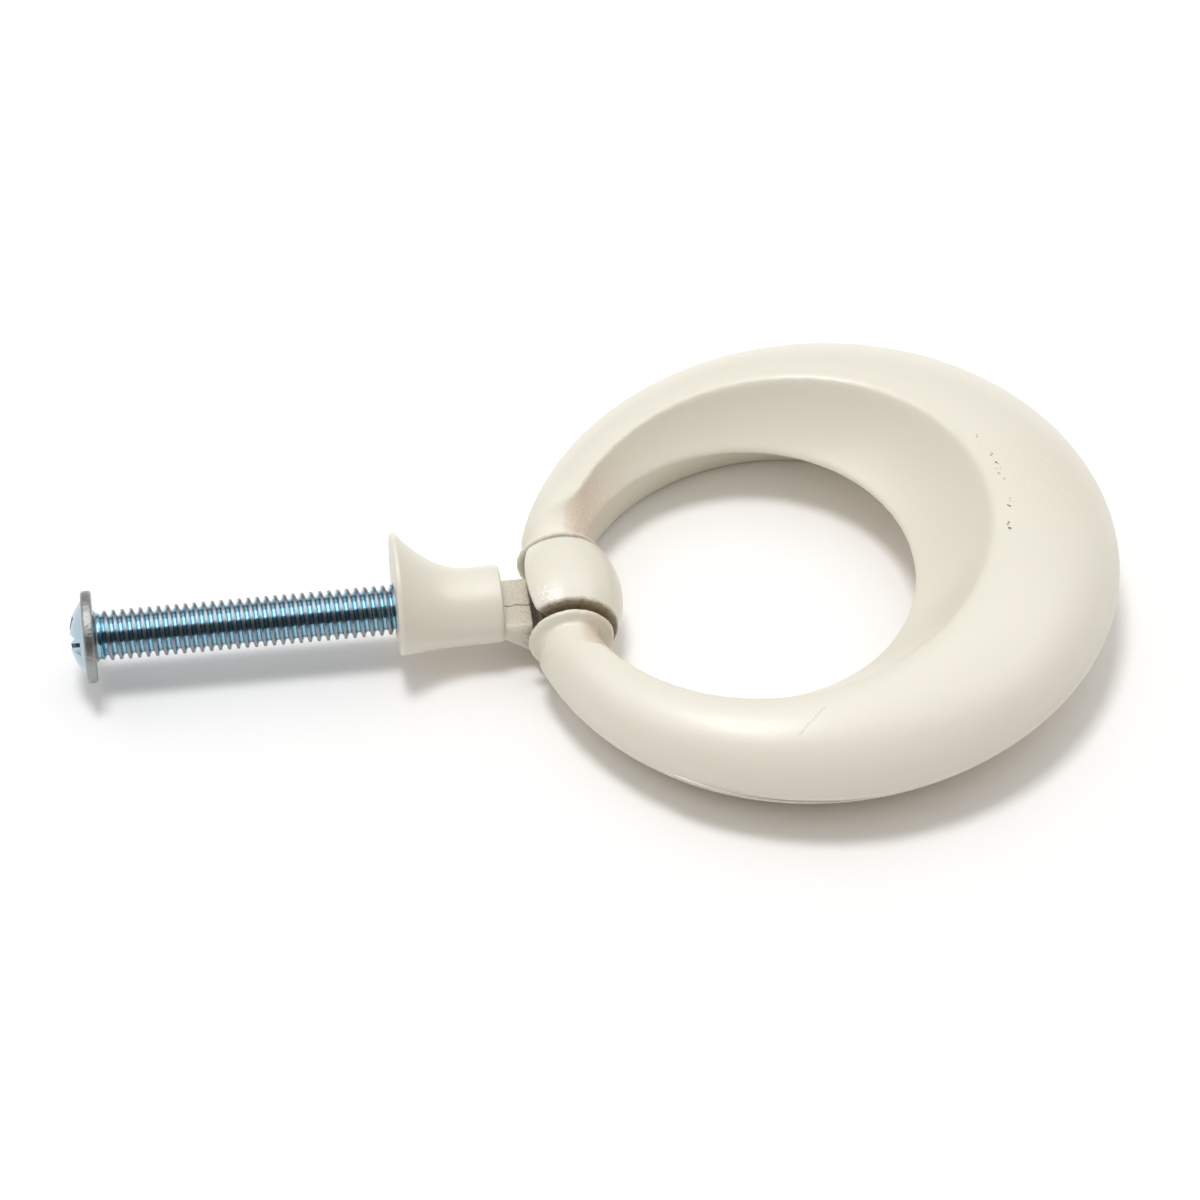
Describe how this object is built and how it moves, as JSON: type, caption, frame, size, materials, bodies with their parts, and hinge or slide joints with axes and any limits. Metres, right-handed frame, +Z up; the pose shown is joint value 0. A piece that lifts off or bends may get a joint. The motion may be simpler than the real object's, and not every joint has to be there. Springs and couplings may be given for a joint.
{
  "type": "ring pull handle",
  "caption": "Crescent ring pull that swings on its own pin in a hooked trumpet post, held to a drawer or cabinet front by a machine screw from behind.",
  "frame": {"origin": "where the screw's axis meets the mounting face of the post", "axes": "+X out of the drawer front along the screw's axis to the ring, +Y along the hinge pin, +Z up when the handle is in use; the ring is laid straight out along +X"},
  "size_m": [0.0823, 0.0474, 0.0124],
  "materials": {
    "post_paint": "cream gloss paint on zinc",
    "ring_paint": "cream gloss paint on zinc",
    "screw_plating": "blue bright zinc plating"
  },
  "bodies": {
    "post_and_screw": {"post": "post_paint", "screw": "screw_plating"},
    "ring_pull": {"ring": "ring_paint"}
  },
  "joints": [
    {"name": "ring_swing", "type": "hinge", "parent": "post_and_screw", "child": "ring_pull", "pos_m": [0.0134, 0, -0.0007], "axis": [0, 1, 0], "range_deg": [-95, 100]}
  ]
}
